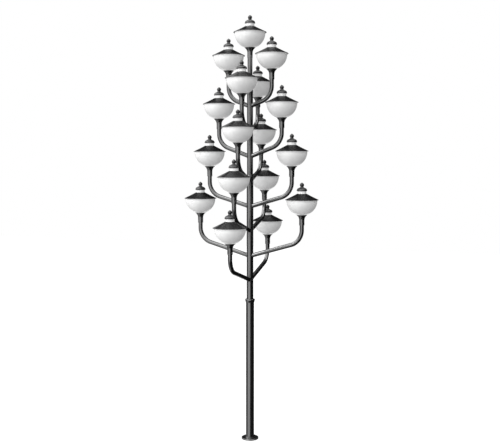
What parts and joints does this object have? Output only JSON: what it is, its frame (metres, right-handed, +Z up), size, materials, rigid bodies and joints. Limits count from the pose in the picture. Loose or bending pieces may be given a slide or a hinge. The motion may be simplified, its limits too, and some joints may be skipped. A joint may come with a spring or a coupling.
{
  "type": "decorative lamp post",
  "caption": "Tall stepped tubular lamp post with a top lantern and tiers of opposed bent-tube arms, each ending in an opal bowl lantern with a conical roof and ball finial.",
  "frame": {"origin": "centre of the base flange's underside, on the foundation", "axes": "+Z up the mast; the side arms lie along X and the cross arms along Y; the service door faces +Y"},
  "size_m": [2.386, 2.386, 7.2164],
  "materials": {
    "mast_paint": "satin black polyester paint on steel tube",
    "casting_paint": "satin black paint on cast aluminium",
    "roof_paint": "satin black paint on spun aluminium",
    "opal_glass": "white opal, smooth and opaque",
    "galvanised": "galvanised steel, dull"
  },
  "bodies": {
    "root": {"base_flange": "mast_paint", "lower_post": "mast_paint", "door_frame": "galvanised", "service_door": "mast_paint", "post_collar": "casting_paint", "middle_post": "mast_paint", "upper_post": "mast_paint", "top_post": "mast_paint", "side_arms_1": "mast_paint", "side_arms_2": "mast_paint", "side_arms_3": "mast_paint", "side_arms_4": "mast_paint", "cross_arms_1": "mast_paint", "cross_arms_2": "mast_paint", "cross_arms_3": "mast_paint", "cross_arms_4": "mast_paint", "top_cup": "casting_paint", "cups_1": "casting_paint", "cups_2": "casting_paint", "cups_3": "casting_paint", "cups_4": "casting_paint", "top_bowl": "opal_glass", "bowls_1": "opal_glass", "bowls_2": "opal_glass", "bowls_3": "opal_glass", "bowls_4": "opal_glass", "top_roof": "roof_paint", "roofs_1": "roof_paint", "roofs_2": "roof_paint", "roofs_3": "roof_paint", "roofs_4": "roof_paint", "top_neck": "opal_glass", "necks_1": "opal_glass", "necks_2": "opal_glass", "necks_3": "opal_glass", "necks_4": "opal_glass", "top_finial": "casting_paint", "finials_1": "casting_paint", "finials_2": "casting_paint", "finials_3": "casting_paint", "finials_4": "casting_paint"}
  },
  "joints": []
}
